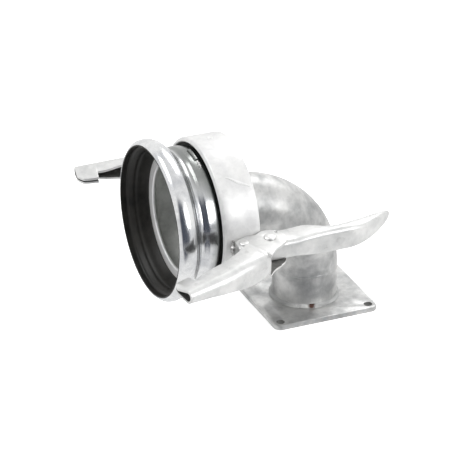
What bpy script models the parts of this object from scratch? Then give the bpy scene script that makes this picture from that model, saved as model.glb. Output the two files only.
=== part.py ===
"""Perrot coupling, female half, on a 90 degree elbow with a square flange.

A spun bell with a rubber ring in its mouth is welded to a tube elbow that
stands on a square flange. A closing ring turns loosely round the bell. It
carries one over-centre lever with a hook arm, and a plain hook opposite.

Metres, +Z up. The origin is the centre of the flange's underside, the leg
stands on the Z axis, and the mouth looks along -Y at the height AXIS_H.
"""
import math

import bmesh
import bpy
from mathutils import Vector

MM = 0.001
GAP = 0.0003               # gap between pieces that touch

# Layout
AXIS_H = 0.1827            # height of the mouth's axis above the flange's underside
BEND_R = 0.1246            # centre-line radius of the elbow
TUBE_R = 0.0508            # outer radius of leg and elbow
TUBE_WALL = 0.004
TUBE_FACETS = 32
BEND_STEPS = 8

# Flange
BOLT_SPACING = 0.150       # square pattern, centre to centre
BOLT_EDGE = 0.0125         # from a hole's centre to the plate's edge
BOLT_HOLE = 0.013
FLANGE_SIDE = BOLT_SPACING + 2 * BOLT_EDGE
FLANGE_T = 0.008
FLANGE_CORNER = 0.011
LEG_FOOT = 0.0015          # the leg stops this far above the flange's underside
FILLET = 0.007             # leg length of the weld on the flange
BEAD_W = 0.0034            # half width of a butt weld
BEAD_H = 0.0021

# Bell: a spun shell of even wall, radii to its outside, places measured forward
BELL_FACETS = 40
BELL_WALL = 0.003
BOWL_R = 0.107             # widest place of the bowl
BOWL_DEPTH = 0.0834        # from the bell's back end to the widest place
NECK_RISE = 0.0105         # the bowl is this much wider than the tube where its neck begins
NECK_LENGTH = 0.0062
WAIST_DROP = 0.003         # the waist is this much narrower than the bowl
WAIST_AHEAD = 0.0105
COLLAR_RISE = 0.019        # from the waist to the crown of the rolled collar
COLLAR_AHEAD = 0.0315
RIM_FALL = 0.004           # from the crown to the rim
RIM_AHEAD = 0.0131
RIM_T = 0.0016             # the sheet is thinned to this at the rim
BOWL_Y = -(BEND_R + BOWL_DEPTH)
WAIST_R = BOWL_R - WAIST_DROP
WAIST_Y = BOWL_Y - WAIST_AHEAD
CROWN_R = WAIST_R + COLLAR_RISE
CROWN_Y = WAIST_Y - COLLAR_AHEAD
RIM_R = CROWN_R - RIM_FALL
RIM_Y = CROWN_Y - RIM_AHEAD
NECK_R = TUBE_R + NECK_RISE
BOWL_LENGTH = (BOWL_DEPTH - NECK_LENGTH - GAP) / math.sqrt(1 - (NECK_R / BOWL_R) ** 2)   # its half axis

# Curves between those places, as shares of the step between them
NECK_CURVE = ((0, 0), (0.39, 0), (0.68, 0.18), (0.87, 0.52))
BOWL_STEPS = 6
COLLAR_CURVE = ((0, 0), (0.143, 0.074), (0.238, 0.274), (0.317, 0.474), (0.438, 0.647), (0.603, 0.811),
                (0.81, 0.953), (1, 1))
RIM_CURVE = (0.53, 0.3)
SHOULDER_CURVE = (0.3, 0.27)

# Rubber ring and the steel ring behind it
SEAL_LIP_T = 0.003         # rim and rubber lip together
SEAL_HEEL = 0.0019         # the rubber's inner edge turns in by this
SEAL_AHEAD = 0.0045        # the rubber ends this far in front of the waist
SEAT_T = 0.0054
SEAT_W = 0.0161            # radial width of the steel ring
SEAT_EDGE = 0.0016
SEAL_LIP_R = RIM_R - SEAL_LIP_T
SEAL_DEEP_R = WAIST_R - BELL_WALL
SEAL_DEEP_Y = WAIST_Y - SEAL_AHEAD

# The rubber's face, in mm: distance in from the rim, and drop from the lip
SEAL_FACE = ((3.6, 0.7), (8.6, 1.3), (13.0, 5.2), (17.1, 8.0), (24.0, 9.8), (31.0, 12.0))
SEAL_TURN = 0.0024

# Closing ring, seated by an inner web that bears on the bowl
RING_TURN = 2.0            # degrees that the ring is turned, near side down
RING_BEHIND = 0.0214       # its front edge lies this far behind the bowl's widest place
RING_WIDTH = 0.0551
RING_ROOM = 0.0055         # between the bowl's widest place and the band
RING_WALL = 0.005
RING_LIP_PLAY = 0.0016     # between the rolled front lip and the bowl
RING_LIP_OUT = 0.0037      # how far the lip stands forward
RING_BACK_ROUND = 0.0018
BEARING_IN = 0.0266        # from the band's front edge to the web's middle
BEARING_T = 0.006
BEARING_PLAY = 0.0006
RING_R = BOWL_R + RING_ROOM + RING_WALL
RING_LIP_R = BOWL_R + RING_LIP_PLAY
RING_FRONT = BOWL_Y + RING_BEHIND
RING_BACK = RING_FRONT + RING_WIDTH
BEARING_Y = RING_FRONT + BEARING_IN

# Welds of the band, and the stop tab in front of it
SEAM_DEG = (53.0, 43.0)    # ends of the band's closing weld
SEAM_ENDS = (0.0146, 0.0065)
SEAM_HALF_W = 0.0034
SEAM_H = 0.0014
PLUG_DEG = 97.0
PLUG_R = 0.0056
PLUG_H = 0.0018
TAB_DEG = (76.0, 92.0)
TAB_AHEAD = 0.0114         # from the band's front edge to the tab's middle
TAB_W = 0.0050
TAB_T = 0.0026
TAB_EDGE = 0.0006
TAB_BEAD_DEG = 8.0
TAB_Y = RING_FRONT - TAB_AHEAD

# Pins and lugs, in the ring's frame
PIN_R = 0.005
PIN_FACETS = 16
PIN_IN = 0.0206            # from the band's front edge to the pins
HEAD_LIP = 0.004           # a pin's head is this much wider than the pin
HEAD_T = 0.003
LUG_REACH = 0.0185         # from the band to the pin's axis
LUG_EDGE = 0.005           # metal round the pin
LUG_HALF_H = 0.0092
LUG_BEAD = 0.0042
RIVET_OUT = 0.0035         # the rivet between handle and hook, from the lug pin
RIVET_BACK = 0.039
RIVET_R = 0.006
RIVET_LIP = 0.0035
RIVET_HEAD_T = 0.0035
PIN_X = RING_R + LUG_REACH
PIN_Y = RING_FRONT + PIN_IN
LUG_HALF_W = PIN_R + LUG_EDGE
HOLE_REACH = 0.04          # half length of a tool that drills a hole

# Pressed levers: each is a channel whose plates lie outside the piece that it straddles
HANDLE_SHEET = 0.003
HOOK_SHEET = 0.0035
FOLD_R = 0.008             # outer radius of the folds
PLATE_EDGE = 0.0006        # radius on the edges of a plate with no web
HOLLOW_PAST = 0.004        # the tool that hollows a channel stands out by this
HOOK_PLAY = 0.0004         # between the handle's plates and the hook's
HANDLE_CLEAR = 0.8         # between the handle's edge and the band, in mm
EYE_SHIFT = 0.002          # the eye's centre lies outward of the rivet
EYE_R = LUG_REACH + RIVET_OUT + EYE_SHIFT
FAR_EYE_R = 0.013
ARM_SWING = 18.1           # degrees outward in the photograph
FAR_SWING = 12.0
FAR_SAG = 3.4              # degrees that the far hook hangs on its loose pin
SPARE_HOLE_R = 0.003
SPARE_HOLE_AT = (-0.009, 0.0155)
FAR_PLAY = math.tan(math.radians(FAR_SAG)) * LUG_HALF_W + GAP
HANDLE_EYE_H = LUG_HALF_H + GAP + HANDLE_SHEET
HOOK_EYE_H = HANDLE_EYE_H + HOOK_PLAY + HOOK_SHEET
FAR_EYE_H = LUG_HALF_H + FAR_PLAY + HOOK_SHEET

# Plan of the hook, in mm: distance toward the mouth from the rivet, and offset outward
EYE_IN = (EYE_SHIFT - EYE_R) / MM
ARM_IN = ((0, EYE_IN), (8, EYE_IN + 2), (20, EYE_IN + 5), (39, -9.5), (61, 1), (86, 7.5), (106, 9.5),
          (119, 7.5), (143, 5.3), (155.3, 6.9))
ARM_OUT = ((0, 27), (12, 28), (23, 31.2), (33, 35.5), (50, 38.5), (77, 41), (113, 41), (150, 38),
           (187.8, 34.5))
NOSE_IN = ((155.8, -21.4), (164, -21.6), (172, -20.8), (178.9, -18.5), (182.0, -12.0), (185.4, -3.0),
           (187.8, 5.2))
ARM_RISE = ((0, 0), (16, 0), (26, 3.3), (52, 3.3), (119, -1.7), (187.8, -8.4))   # change of half height
ARM_MARKS = (8, 16, 26, 39, 45, 52, 66, 82, 97, 112, 122, 132, 143, 150)
WEB_FROM = 33.0            # the web starts here
LEAN_FROM = 112.0          # the plates start to lean here
NOSE_HALF_H = 5.0          # and come together to this half height

# Plan of the far hook, in mm from its own pin
FAR_OFFSET = (38, -10.9)   # its pin, in the plan of the hook above
SAME_FROM = 106            # from here on, both hooks have one inner outline
FAR_IN = ((0, -13), (9, -10.5), (20, -2), (34, 9), (50, 15.5), (66, 19.2))
FAR_OUT = ((0, 13), (7, 17), (15, 27), (24, 39), (33, 46.5), (45, 49.5), (75, 49.5), (112, 48), (149.8, 45.4))
FAR_RISE = ((0, 0), (40, 0.3), (60, 1), (81, -0.8), (149.8, -5.8))
FAR_MARKS = (6, 12, 24, 30, 38, 46, 56, 66, 81, 93, 105, 112)
FAR_WEB_FROM = 17.0

# Plan of the handle, in mm from the lug pin toward its tip, offset outward
HANDLE_SEAT = HANDLE_CLEAR - LUG_REACH / MM
HANDLE_OUT = ((-13, 13), (-10, 15.5), (0, 17.5), (20, 18.6), (55, 19), (166, 19), (180, 17.5), (193, 14),
              (223, -2), (240, -15.5), (254, -28))
HANDLE_IN = ((-13, -2), (-11.5, -6), (-8, -10.2), (0, -14.2), (9, HANDLE_SEAT), (41, HANDLE_SEAT), (76, -17),
             (98, -15.8), (118, -6), (135, 2.6), (149, 4), (163, 2.6), (192, -5), (236, -21), (254, -30.5))
HANDLE_RISE = ((-13, 0), (75, 0), (96, 5), (116, 6.5), (146, 7), (166, 7), (193, 3.5), (221, -1.5),
               (241, -6.5), (254, -10))
HANDLE_MARKS = (-13, -11.5, -8, 0, 9, 25, 41, 58, 75, 85, 96, 106, 116, 126, 135, 142, 149, 156, 166, 178,
                193, 203, 213, 223, 232, 240, 247, 254)
TIP_SOLID = 18             # the last stretch of the tip isn't hollow


def clear_scene():
    for obj in list(bpy.data.objects):
        bpy.data.objects.remove(obj, do_unlink=True)


def material(name, color, metallic, roughness):
    mat = bpy.data.materials.get(name)
    if mat:
        return mat
    mat = bpy.data.materials.new(name)
    mat.use_nodes = True
    shader = mat.node_tree.nodes["Principled BSDF"]
    shader.inputs["Base Color"].default_value = (*color, 1)
    shader.inputs["Metallic"].default_value = metallic
    shader.inputs["Roughness"].default_value = roughness
    mat.diffuse_color = (*color, 1)
    return mat


def dull_zinc():
    return material("dull_zinc", (0.52, 0.53, 0.53), 0.75, 0.5)


def bright_zinc():
    return material("bright_zinc", (0.76, 0.77, 0.78), 1.0, 0.25)


def weld_zinc():
    return material("weld_zinc", (0.66, 0.67, 0.66), 0.9, 0.42)


def rivet_steel():
    return material("rivet_steel", (0.70, 0.71, 0.72), 1.0, 0.35)


def black_rubber():
    return material("black_rubber", (0.018, 0.018, 0.017), 0.0, 0.45)


def finish(bm, name, mat, parent=None, location=(0, 0, 0), smooth=35):
    """Turn a closed surface into an object: normals out, smooth rounds, sharp corners."""
    bmesh.ops.remove_doubles(bm, verts=bm.verts, dist=1e-6)
    bmesh.ops.recalc_face_normals(bm, faces=bm.faces)
    mesh = bpy.data.meshes.new(name)
    bm.to_mesh(mesh)
    bm.free()
    mesh.materials.append(mat)
    mesh.shade_smooth()
    mesh.set_sharp_from_angle(angle=math.radians(smooth))
    obj = bpy.data.objects.new(name, mesh)
    bpy.context.collection.objects.link(obj)
    obj.location = location
    obj.parent = parent
    return obj


def pivot(name, location, parent=None, rotation=(0, 0, 0)):
    """An empty that holds an axis; rotation in degrees."""
    empty = bpy.data.objects.new(name, None)
    bpy.context.collection.objects.link(empty)
    empty.empty_display_size = 0.03
    empty.location = location
    empty.rotation_euler = [math.radians(turn) for turn in rotation]
    empty.parent = parent
    return empty


def skin(bm, sections, loop=False):
    """Join equal closed sections into one surface, with flat ends or as a ring."""
    rows = [[bm.verts.new(point) for point in section] for section in sections]
    count = len(rows[0])
    pairs = list(zip(rows, rows[1:]))
    if loop:
        pairs.append((rows[-1], rows[0]))
    for low, high in pairs:
        for i in range(count):
            j = (i + 1) % count
            bm.faces.new((low[i], low[j], high[j], high[i]))
    if not loop:
        bm.faces.new(rows[0])
        bm.faces.new(tuple(reversed(rows[-1])))


def circle(radius, facets, phase=0.0):
    """Corners of a regular outline on a circle; phase is a share of one side."""
    step = 2 * math.pi / facets
    turns = [step * (i + phase) for i in range(facets)]
    return [(radius * math.cos(turn), radius * math.sin(turn)) for turn in turns]


def turned(name, profile, mat, facets=BELL_FACETS, parent=None, span=None):
    """Turn a closed (y, radius) profile about the mouth's axis, whole or from one angle to another."""
    if span:
        angles = [math.radians(span[0] + (span[1] - span[0]) * i / facets) for i in range(facets + 1)]
    else:
        angles = [2 * math.pi * i / facets for i in range(facets)]
    bm = bmesh.new()
    skin(bm, [[(r * math.cos(t), y, r * math.sin(t)) for y, r in profile] for t in angles], loop=not span)
    return finish(bm, name, mat, parent, (0, 0, 0) if parent else (0, 0, AXIS_H))


def turned_upright(name, profile, mat):
    """Turn a closed (radius, z) profile about the leg's axis."""
    bm = bmesh.new()
    skin(bm, [[(x * r, y * r, z) for r, z in profile] for x, y in circle(1, TUBE_FACETS)], loop=True)
    return finish(bm, name, mat)


def cutter(bm, name, parent=None, location=(0, 0, 0)):
    """A tool body: kept out of renders and drawn as wire."""
    obj = finish(bm, name, dull_zinc(), parent, location)
    obj.hide_render = True
    obj.display_type = "WIRE"
    return obj


def round_cutter(name, radius, half, location, parent=None, facets=PIN_FACETS):
    bm = bmesh.new()
    outline = circle(radius, facets, 0.37)
    skin(bm, [[(x, y, z) for x, y in outline] for z in (-half, half)])
    return cutter(bm, name, parent, location)


def cut(obj, tool):
    mod = obj.modifiers.new(tool.name, "BOOLEAN")
    mod.operation = "DIFFERENCE"
    mod.solver = "EXACT"
    mod.object = tool


def curve_at(points, x):
    """Smooth curve through (x, y) points: cubic pieces whose slopes never overshoot."""
    xs = [p[0] for p in points]
    ys = [p[1] for p in points]
    if x <= xs[0]:
        return ys[0]
    if x >= xs[-1]:
        return ys[-1]
    rise = [(ys[i + 1] - ys[i]) / (xs[i + 1] - xs[i]) for i in range(len(xs) - 1)]
    slope = [rise[0]] + [0.0] * (len(xs) - 2) + [rise[-1]]
    for i in range(1, len(xs) - 1):
        if rise[i - 1] * rise[i] > 0:
            slope[i] = 2 * rise[i - 1] * rise[i] / (rise[i - 1] + rise[i])
    i = max(k for k in range(len(xs) - 1) if xs[k] <= x)
    width = xs[i + 1] - xs[i]
    t = (x - xs[i]) / width
    return (ys[i] * (1 + 2 * t) * (1 - t) ** 2 + slope[i] * width * t * (1 - t) ** 2
            + ys[i + 1] * t * t * (3 - 2 * t) + slope[i + 1] * width * t * t * (t - 1))


def shifted(line, distance):
    """Move an open (y, r) line sideways; a positive distance moves it away from the axis."""
    moved = []
    for i, (y, r) in enumerate(line):
        y0, r0 = line[max(i - 1, 0)]
        y1, r1 = line[min(i + 1, len(line) - 1)]
        side = Vector((r1 - r0, y0 - y1)).normalized()
        if i in (0, len(line) - 1):
            side = Vector((0, 1))
        moved.append((y + side.x * distance, r + side.y * distance))
    return moved


def between(start, end, curve):
    """Points on a curve given as shares of the way from one (y, r) place to another."""
    return [(start[0] + (end[0] - start[0]) * u, start[1] + (end[1] - start[1]) * v) for u, v in curve]


def bowl_radius(y):
    """Outer radius of the elliptic bowl."""
    return BOWL_R * math.sqrt(1 - ((y - BOWL_Y) / BOWL_LENGTH) ** 2)


def bell_line():
    """Middle of the bell's wall, from the elbow to the rim."""
    half = BELL_WALL / 2
    back = -BEND_R - GAP
    first = math.acos((back - NECK_LENGTH - BOWL_Y) / BOWL_LENGTH)
    bowl = []
    for i in range(BOWL_STEPS + 1):
        turn = first + (math.pi / 2 - first) * i / BOWL_STEPS
        normal = Vector((math.cos(turn) / BOWL_LENGTH, math.sin(turn) / BOWL_R)).normalized()
        bowl.append((BOWL_Y + BOWL_LENGTH * math.cos(turn) - half * normal.x,
                     BOWL_R * math.sin(turn) - half * normal.y))
    waist = (WAIST_Y, WAIST_R - half)
    crown = (CROWN_Y, CROWN_R - half)
    rim = (RIM_Y, RIM_R - half)
    neck = between((back, TUBE_R - TUBE_WALL / 2), bowl[0], NECK_CURVE)
    shoulder = between(bowl[-1], waist, (SHOULDER_CURVE,))
    collar = between(waist, crown, COLLAR_CURVE)
    return neck + bowl + shoulder + collar + between(crown, rim, (RIM_CURVE, (1, 1)))


def make_flange():
    """Square plate with rounded corners, a bore that takes the leg, and four bolt holes."""
    flat = FLANGE_SIDE / 2 - FLANGE_CORNER
    corners = ((1, 1), (-1, 1), (-1, -1), (1, -1))
    outline = []
    for k, (sx, sy) in enumerate(corners):
        for i in range(6):
            turn = math.radians(90 * k + 18 * i)
            x, y = (FLANGE_CORNER * math.cos(turn), FLANGE_CORNER * math.sin(turn))
            outline.append((sx * flat + x, sy * flat + y))
    bm = bmesh.new()
    skin(bm, [[(x, y, z) for x, y in outline] for z in (0, FLANGE_T)])
    plate = finish(bm, "flange_plate", dull_zinc())
    middle = FLANGE_T / 2
    bore = (TUBE_R + GAP) / math.cos(math.pi / TUBE_FACETS)
    cut(plate, round_cutter("flange_bore_tool", bore, FLANGE_T, (0, 0, middle), facets=TUBE_FACETS))
    reach = BOLT_SPACING / 2
    for k, (sx, sy) in enumerate(corners):
        place = (sx * reach, sy * reach, middle)
        cut(plate, round_cutter("bolt_tool_%d" % (k + 1), BOLT_HOLE / 2, FLANGE_T, place, facets=20))


def make_leg():
    inner = TUBE_R - TUBE_WALL
    top = AXIS_H - BEND_R
    wall_section = [(TUBE_R, LEG_FOOT), (TUBE_R, top - GAP), (inner, top - GAP), (inner, LEG_FOOT)]
    turned_upright("leg_pipe", wall_section, dull_zinc())
    foot = FLANGE_T + GAP
    wall = TUBE_R + GAP
    curve = ((0, 0), (1, 0), (0.72, 0.4), (0.36, 0.74), (0, 1))
    turned_upright("flange_weld", between((wall, foot), (wall + FILLET, foot + FILLET), curve), weld_zinc())
    bead = between((wall, top), (wall + BEAD_H, top + BEAD_W), ((0, -1), (0.85, -0.5), (0.85, 0.5), (0.2, 1)))
    turned_upright("leg_weld", bead, weld_zinc())


def make_elbow():
    """Quarter bend from the leg's top to the bell, a tube section swept round the bend's centre."""
    bm = bmesh.new()
    shells = []
    for radius in (TUBE_R, TUBE_R - TUBE_WALL):
        rows = []
        for i in range(BEND_STEPS + 1):
            turn = (math.pi / 2) * i / BEND_STEPS
            rows.append([bm.verts.new((x, -BEND_R + (BEND_R + s) * math.cos(turn),
                                       AXIS_H - BEND_R + (BEND_R + s) * math.sin(turn)))
                         for x, s in circle(radius, TUBE_FACETS)])
        shells.append(rows)
        for low, high in zip(rows, rows[1:]):
            for k in range(TUBE_FACETS):
                j = (k + 1) % TUBE_FACETS
                bm.faces.new((low[k], low[j], high[j], high[k]))
    outer, inner = shells
    for end in (0, -1):
        for k in range(TUBE_FACETS):
            j = (k + 1) % TUBE_FACETS
            bm.faces.new((outer[end][k], outer[end][j], inner[end][j], inner[end][k]))
    finish(bm, "elbow", dull_zinc())


def make_bell():
    line = bell_line()
    half = BELL_WALL / 2
    outside = shifted(line, half)[:-1] + [(RIM_Y, RIM_R)]
    inside = shifted(line, -half)[:-1] + [(RIM_Y, RIM_R - RIM_T)]
    turned("bell", outside + list(reversed(inside)), bright_zinc())
    joint = -BEND_R
    wall = TUBE_R + GAP
    curve = ((1, 0.3), (0.4, 0.9), (-0.25, 0.9), (-0.5, 0.05))
    bead = between((joint, wall), (joint + BEAD_W, wall + BEAD_H), curve)
    turned("bell_weld", bead, weld_zinc(), TUBE_FACETS)


def make_seal():
    """Rubber ring: its back follows the collar's inside, its face steps down from the lip to a bead."""
    inside = shifted(bell_line(), -(BELL_WALL / 2 + GAP))
    back = [(y, r) for y, r in inside if RIM_Y + GAP < y < SEAL_DEEP_Y - GAP]
    rim = RIM_Y + GAP
    back.append((rim, RIM_R - RIM_T - GAP))
    face = [(rim, SEAL_LIP_R)]
    face += [(RIM_Y + depth * MM, SEAL_LIP_R - drop * MM) for depth, drop in SEAL_FACE]
    face += [(SEAL_DEEP_Y - SEAL_TURN, SEAL_DEEP_R), (SEAL_DEEP_Y, SEAL_DEEP_R - SEAL_HEEL)]
    turned("seal_ring", back + face, black_rubber())
    near = SEAL_DEEP_Y + GAP
    far = near + SEAT_T
    outer = WAIST_R - BELL_WALL - GAP
    inner = outer - SEAT_W
    edge = SEAT_EDGE
    turned("seal_seat_ring", [(near, outer), (near, inner + edge), (near + edge, inner), (far - edge, inner),
                              (far, inner + edge), (far, outer)], bright_zinc())


def make_stop_tab():
    """A short strip welded on the bowl, just in front of the closing ring."""
    foot = bowl_radius(TAB_Y - TAB_W / 2) + GAP
    top = foot + TAB_T
    low = TAB_Y - TAB_W / 2
    high = TAB_Y + TAB_W / 2
    edge = TAB_EDGE
    turned("ring_stop_tab", [(low, foot), (low, top - edge), (low + edge, top), (high - edge, top),
                             (high, top - edge), (high, foot)], weld_zinc(), 8, span=TAB_DEG)
    end = TAB_DEG[0] - math.degrees(GAP / foot)
    curve = ((-0.48, 0), (-0.36, 0.54), (0.4, 0.8), (0.8, 0.54), (0.96, 0))
    bead = between((TAB_Y, foot), (high, top), curve)
    turned("stop_tab_weld", bead, weld_zinc(), 6, span=(end - TAB_BEAD_DEG, end))


def make_closing_ring(axis):
    """Wide band with a rolled front lip, and the web inside it that bears on the bowl."""
    inner = RING_R - RING_WALL
    tip = RING_FRONT - RING_LIP_OUT
    edge = RING_BACK_ROUND
    lip = between((tip, RING_LIP_R), (RING_FRONT, RING_R),
                  ((1.16, 1), (0.68, 0.89), (0.22, 0.57), (0, 0.25), (0.11, 0.07), (0.43, 0), (1.14, 0.07)))
    back = [(RING_BACK, RING_R - edge), (RING_BACK - edge * 0.3, RING_R - edge * 0.3), (RING_BACK - edge, RING_R)]
    inside = [(tip + 2 * RING_LIP_OUT, inner), (RING_BACK, inner)]
    turned("closing_ring", back + lip + inside, bright_zinc(), parent=axis)
    low = BEARING_Y - BEARING_T / 2
    high = BEARING_Y + BEARING_T / 2
    turned("ring_bearing", [(low, bowl_radius(low) + BEARING_PLAY), (low, inner - GAP), (high, inner - GAP),
                            (high, bowl_radius(high) + BEARING_PLAY)], dull_zinc(), parent=axis)


def make_ring_welds(axis):
    """The slanting bead that closes the band, and the plug weld over the inner web."""
    bm = bmesh.new()
    seat = RING_R + GAP
    front = RING_FRONT + SEAM_ENDS[0]
    back = RING_BACK - SEAM_ENDS[1]
    sections = []
    for i in range(7):
        share = i / 6
        swell = 0.4 + 0.6 * math.sin(math.pi * share)
        half = math.degrees(SEAM_HALF_W * swell / RING_R)
        middle = SEAM_DEG[0] + (SEAM_DEG[1] - SEAM_DEG[0]) * share
        section = []
        for side, lift in ((-1, 0), (-0.55, 0.8), (0, 1), (0.55, 0.8), (1, 0)):
            turn = math.radians(middle + side * half)
            radius = seat + SEAM_H * lift * swell
            section.append((radius * math.cos(turn), front + (back - front) * share, radius * math.sin(turn)))
        sections.append(section)
    skin(bm, sections)
    finish(bm, "ring_seam_weld", weld_zinc(), axis)
    bm = bmesh.new()
    turn = math.radians(PLUG_DEG)
    out = Vector((math.cos(turn), 0, math.sin(turn)))
    side = Vector((-math.sin(turn), 0, math.cos(turn)))
    along = Vector((0, 1, 0))
    sections = []
    for share, lift in ((1, 0), (0.92, 0.44), (0.66, 0.83), (0.3, 1)):
        centre = out * (seat + PLUG_H * lift) + along * BEARING_Y
        sections.append([centre + side * x * share + along * y * share for x, y in circle(PLUG_R, 16)])
    skin(bm, sections)
    finish(bm, "ring_plug_weld", weld_zinc(), axis)


def ring_cutter(name, axis):
    """The ring's outside with its gap, as a tool body."""
    bm = bmesh.new()
    outline = circle(RING_R + GAP, BELL_FACETS)
    skin(bm, [[(x, y, z) for x, z in outline] for y in (RING_FRONT - RING_WALL, RING_BACK + RING_WALL)])
    return cutter(bm, name, axis)


def make_lug(name, side, pin_play, axis):
    """Lug for one pin, seated on the ring, with a bead in front of it and one behind it."""
    root = -LUG_REACH - RING_WALL
    outline = [(root, LUG_HALF_W)]
    for i in range(9):
        turn = math.radians(90 - 22.5 * i)
        outline.append((LUG_HALF_W * math.cos(turn), LUG_HALF_W * math.sin(turn)))
    outline.append((root, -LUG_HALF_W))
    bm = bmesh.new()
    skin(bm, [[(side * (PIN_X + x), PIN_Y + y, z) for x, y in outline] for z in (-LUG_HALF_H, LUG_HALF_H)])
    lug = finish(bm, name, dull_zinc(), axis)
    cut(lug, ring_cutter(name + "_seat_tool", axis))
    cut(lug, round_cutter(name + "_hole_tool", PIN_R + pin_play, HOLE_REACH, (side * PIN_X, PIN_Y, 0), axis))
    for word, toward in (("front", -1), ("back", 1)):
        bm = bmesh.new()
        sections = []
        for share in (-0.95, -0.6, 0, 0.6, 0.95):
            z = share * LUG_HALF_H
            wall = math.sqrt(RING_R ** 2 - z * z) + GAP
            edge = PIN_Y + toward * (LUG_HALF_W + GAP)
            size = LUG_BEAD * (1 - 0.3 * share * share)
            sections.append([(side * wall, edge, z), (side * (wall + size), edge, z),
                             (side * (wall + size * 0.5), edge + toward * size * 0.6, z),
                             (side * wall, edge + toward * size, z)])
        skin(bm, sections)
        finish(bm, "%s_weld_%s" % (name, word), weld_zinc(), axis, smooth=50)


def make_rivet(name, radius, half, head_r, head_t, parent, location=(0, 0, 0)):
    """Round-headed rivet along Z: a domed head above, a hammered head below."""
    top = half + GAP
    rows = ((head_r * 0.5, -top - head_t), (head_r * 0.85, -top - head_t * 0.6), (head_r, -top),
            (radius, -top), (radius, top), (head_r, top), (head_r, top + head_t * 0.3),
            (head_r * 0.84, top + head_t * 0.74), (head_r * 0.4, top + head_t))
    bm = bmesh.new()
    skin(bm, [[(x, y, z) for x, y in circle(r, PIN_FACETS)] for r, z in rows])
    return finish(bm, name, rivet_steel(), parent, location)


def channel_section(b_in, b_out, h_in, h_out, fold, steps):
    """Closed section in (outward, z): square toward the pipe, folded along its two outer edges."""
    fold = min(fold, h_out * 0.95, (b_out - b_in) * 0.7)
    points = [(b_in, -h_in)]
    for i in range(steps + 1):
        t = (math.pi / 2) * i / steps
        points.append((b_out - fold * (1 - math.sin(t)), -h_out + fold * (1 - math.cos(t))))
    for i in range(steps, -1, -1):
        t = (math.pi / 2) * i / steps
        points.append((b_out - fold * (1 - math.sin(t)), h_out - fold * (1 - math.cos(t))))
    points.append((b_in, h_in))
    return points


def pressed_skin(stations, side, along, steps):
    """Skin sections set along a lever; along is -1 for a piece that runs toward the mouth."""
    bm = bmesh.new()
    sections = []
    for a, b_in, b_out, h_in, h_out, fold in stations:
        section = channel_section(b_in, b_out, h_in, h_out, fold, steps)
        sections.append([(side * b, along * a, z) for b, z in section])
    skin(bm, sections)
    return bm


def eye_stations(radius, shift, half_h):
    """Stations round the back of a round eye."""
    rows = []
    for i in range(6):
        turn = math.radians(6 + 14 * i)
        reach = radius * math.sin(turn)
        rows.append((-radius * math.cos(turn), shift - reach, shift + reach, half_h, half_h, PLATE_EDGE))
    return rows


def hook_stations(inner, outer, nose, height, eye_r, eye_shift, web_from, lean_from, marks):
    """Stations from the back of the eye to the tip: flat eye plates, the folded arm, the leaning nose."""
    root = inner[-1][0]
    rows = eye_stations(eye_r, eye_shift, height[0][1] * MM)
    thick = curve_at(outer, nose[0][0]) - nose[0][1]
    steepest = (curve_at(height, nose[0][0]) - NOSE_HALF_H) / thick
    for a in sorted(set(marks) | {0, web_from - 0.1, web_from + 0.2, root}):
        low = curve_at(inner, a)
        high = curve_at(outer, a)
        h = curve_at(height, a)
        share = min(max((a - lean_from) / (root - lean_from), 0), 1)
        h_in = h - steepest * share * (high - low)
        fold = FOLD_R if a > web_from else PLATE_EDGE
        rows.append((a * MM, low * MM, high * MM, h_in * MM, h * MM, fold))
    for a, low in nose:
        high = curve_at(outer, a)
        h = curve_at(height, a)
        h_in = max(h - steepest * (high - low), NOSE_HALF_H * 0.92)
        rows.append((a * MM, low * MM, high * MM, h_in * MM, h * MM, FOLD_R))
    return rows


def hollow_stations(rows, sheet, web_from, nose_from, before, past):
    """Stations of the tool that leaves two plates and, from web_from on, the web between them."""
    placed = []
    for a, b_in, b_out, h_in, h_out, fold in rows:
        lean = (h_out - h_in) / (b_out - b_in)
        h_open = max(h_in - sheet - lean * HOLLOW_PAST, GAP)
        early = GAP if a >= nose_from else 0
        if a < web_from:
            placed.append((a - early, b_in - HOLLOW_PAST, b_out + HOLLOW_PAST, h_open, h_out - sheet, fold))
        else:
            placed.append((a - early, b_in - HOLLOW_PAST, b_out - sheet, h_open, h_out - sheet, fold - sheet))
    first = placed[0]
    last = placed[-1]
    placed.insert(0, (first[0] - before, *first[1:]))
    if past:
        placed.append((last[0] + past, *last[1:]))
    return placed


def make_hook(name, side, rows, web_from, nose_from, pin_r, parent):
    """One pressed hook: two plates with an eye and a nose each, joined by the web."""
    hook = finish(pressed_skin(rows, side, -1, 3), name, bright_zinc(), parent, smooth=40)
    tool_rows = hollow_stations(rows, HOOK_SHEET, web_from * MM, nose_from * MM, FOLD_R, FOLD_R)
    cut(hook, cutter(pressed_skin(tool_rows, side, -1, 2), name + "_hollow_tool", parent))
    cut(hook, round_cutter(name + "_pin_tool", pin_r + GAP, HOLE_REACH, (0, 0, 0), parent))
    return hook


def raised(base, rises):
    """Half heights in mm along a piece, from its eye's half height and its rises."""
    return [(a, base / MM + rise) for a, rise in rises]


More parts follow.
